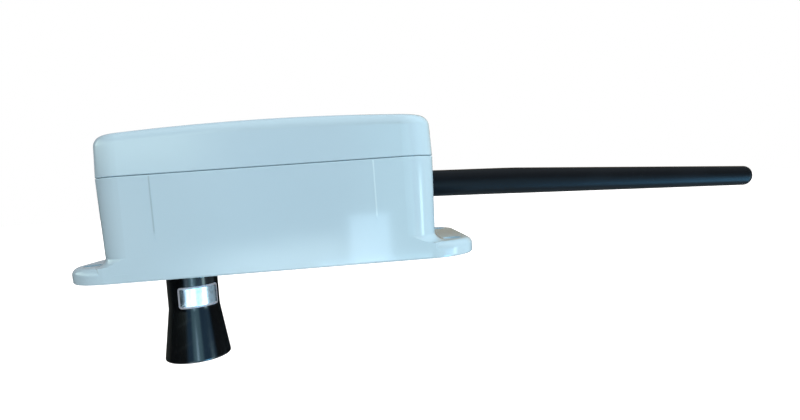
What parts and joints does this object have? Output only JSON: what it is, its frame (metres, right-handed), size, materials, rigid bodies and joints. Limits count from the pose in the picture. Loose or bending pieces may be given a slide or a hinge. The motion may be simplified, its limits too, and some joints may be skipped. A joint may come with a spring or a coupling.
{
  "type": "ultrasonic level sensor",
  "caption": "Battery ultrasonic level sensor: pale plastic box with screw ears, a black horn under its floor and a black rubber whip antenna on one end wall.",
  "frame": {"origin": "middle of the box's underside, at the centre of the four ear holes", "axes": "+X towards the antenna, +Z from the horn up through the lid, the front is at -Y"},
  "size_m": [0.3307, 0.0906, 0.1096],
  "materials": {
    "box_plastic": "smooth moulded, pale cool white",
    "horn_plastic": "polished black",
    "seal_rubber": "matt black",
    "whip_rubber": "satin near-black",
    "label_film": "silvered film, bare",
    "screw_steel": "stainless",
    "contact_steel": "plated",
    "can_aluminium": "anodised",
    "gold_brass": "gold plated",
    "circuit_board": "solder mask",
    "header_plastic": "moulded natural",
    "tray_plastic": "moulded black",
    "cell_wrap": "bare shrink sleeve",
    "chip_plastic": "moulded black",
    "lead_sheath": "extruded black"
  },
  "bodies": {
    "root": {"base_housing": "box_plastic", "lid": "box_plastic", "lid_gasket": "seal_rubber", "lid_screws": "screw_steel", "horn": "horn_plastic", "horn_seal": "seal_rubber", "horn_nut": "horn_plastic", "horn_label": "label_film", "transducer_sleeve": "seal_rubber", "transducer": "can_aluminium", "sensor_board": "circuit_board", "sensor_board_header": "header_plastic", "sensor_board_plug": "header_plastic", "sensor_lead": "lead_sheath", "main_board_plug": "header_plastic", "main_board_header": "header_plastic", "main_board": "circuit_board", "board_screws": "screw_steel", "battery_tray": "tray_plastic", "battery_front": "cell_wrap", "battery_rear": "cell_wrap", "contact_front_left": "contact_steel", "contact_front_right": "contact_steel", "contact_rear_left": "contact_steel", "contact_rear_right": "contact_steel", "controller_chip": "chip_plastic", "radio_board": "circuit_board", "radio_shield": "contact_steel", "coax_socket": "gold_brass", "coax_plug": "gold_brass", "coax_lead": "lead_sheath", "antenna_socket": "gold_brass", "antenna_seal": "seal_rubber", "antenna_washer": "gold_brass", "antenna_nut": "gold_brass", "antenna_coupling": "gold_brass", "antenna_whip": "whip_rubber"}
  },
  "joints": []
}
